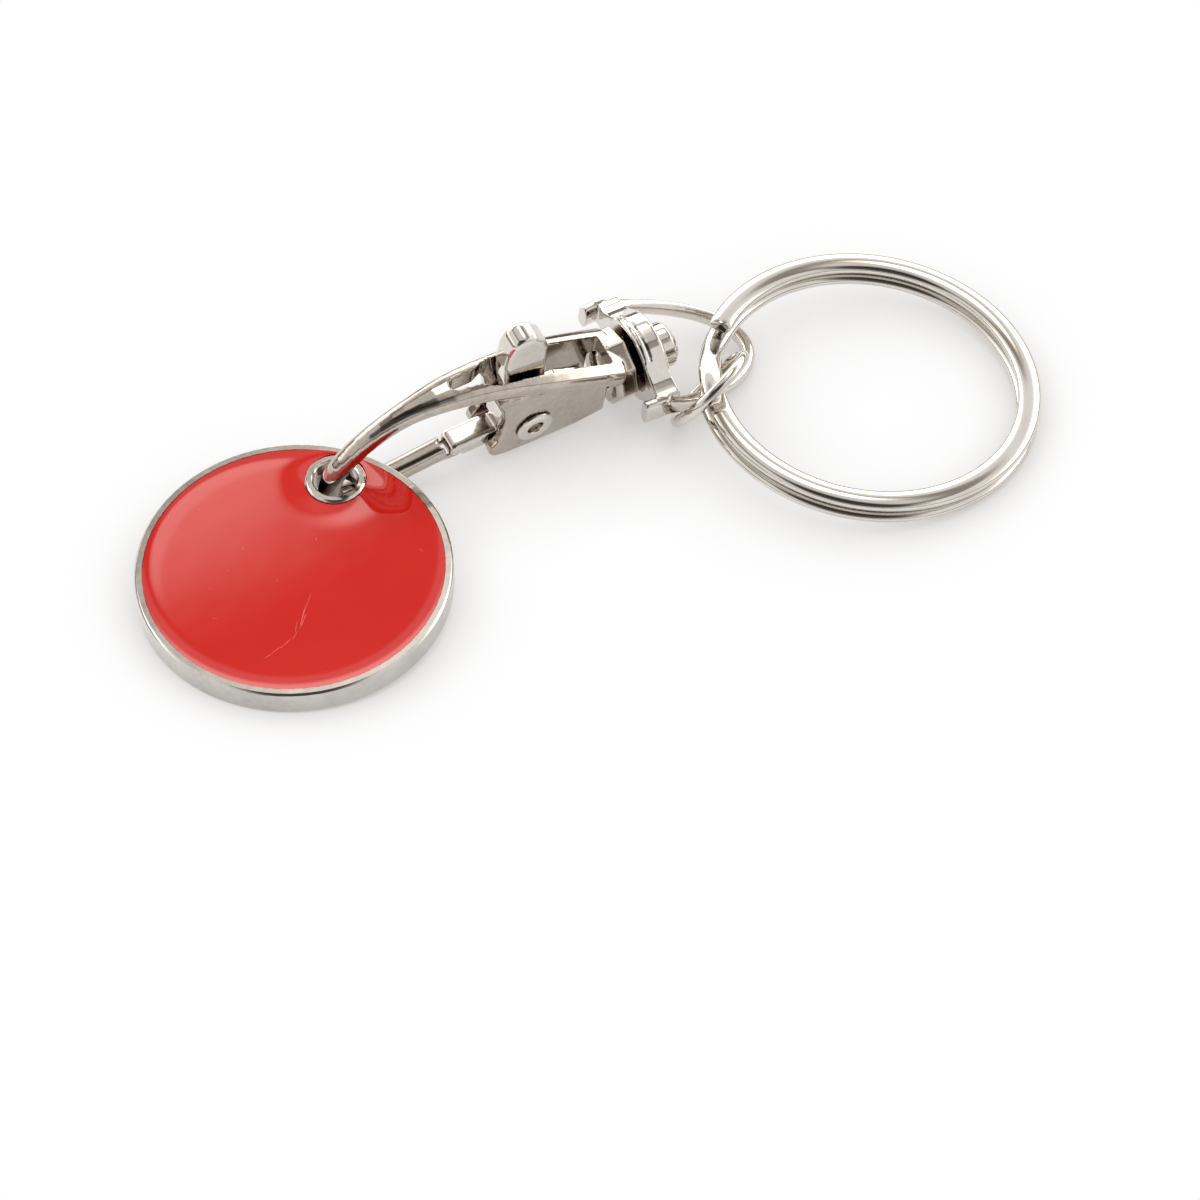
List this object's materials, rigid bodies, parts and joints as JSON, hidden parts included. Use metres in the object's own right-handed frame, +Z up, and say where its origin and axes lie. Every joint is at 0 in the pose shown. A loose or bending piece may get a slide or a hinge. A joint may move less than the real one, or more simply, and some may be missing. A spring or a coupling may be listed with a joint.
{
  "type": "coin holder keyring",
  "caption": "Keyring that carries a trolley coin: an enamelled metal coin with a hole hangs on a sprung trigger hook with a swivel eye, joined by a jump ring to a split ring.",
  "frame": {"origin": "on the surface the keyring lies on, under the middle of its bounding box", "axes": "+X runs along the swivel's axis from the coin toward the split ring, +Z is up off the surface"},
  "size_m": [0.0706, 0.0288, 0.0146],
  "materials": {
    "nickel": "bright nickel plating on die-cast zinc, polished, with fine rubbing marks",
    "enamel": "soft enamel fill, saturated red",
    "clear_coat": "clear epoxy coat with a raised edge, a few hairline scratches",
    "spring_steel": "drawn spring wire, satin",
    "ring_steel": "bright nickel plating on hardened steel wire"
  },
  "bodies": {
    "eye": {"swivel_eye": "nickel"},
    "hook": {"hook_body": "nickel", "swivel_rivet": "nickel", "trigger_pin": "nickel", "trigger_spring": "spring_steel"},
    "lever": {"trigger_lever": "nickel"},
    "coin": {"coin_body": "nickel", "coin_enamel": "enamel", "coin_clear_coat": "clear_coat"},
    "link": {"jump_ring": "ring_steel"},
    "key_loop": {"split_ring": "ring_steel"}
  },
  "joints": [
    {"name": "hook_swivel", "type": "hinge", "parent": "eye", "child": "hook", "pos_m": [0.00842, 0.00838, 0.00426], "axis": [1, 0, 0], "continuous": true},
    {"name": "trigger_hinge", "type": "hinge", "parent": "hook", "child": "lever", "pos_m": [-0.00158, 0.00844, 0.00401], "axis": [0, 0.9703, 0.2419], "range_deg": [0, 40], "stiffness_Nm_per_rad": 0.006, "springref_deg": -34.38, "deforming": ["trigger_spring"]},
    {"name": "coin_swing", "type": "hinge", "parent": "hook", "child": "coin", "pos_m": [-0.01708, 0.00843, 0.00298], "axis": [-0.0723, -0.0629, 0.9954], "range_deg": [-90, 25]},
    {"name": "link_swing", "type": "hinge", "parent": "eye", "child": "link", "pos_m": [0.01054, 0.00384, 0.00233], "axis": [0.9383, 0.1449, -0.314], "range_deg": [-4, 18]},
    {"name": "split_ring_swing", "type": "hinge", "parent": "link", "child": "key_loop", "pos_m": [0.01124, 0.00233, 0.00456], "axis": [0.3365, 0.9405, 0.0474], "range_deg": [-70, 4]}
  ]
}
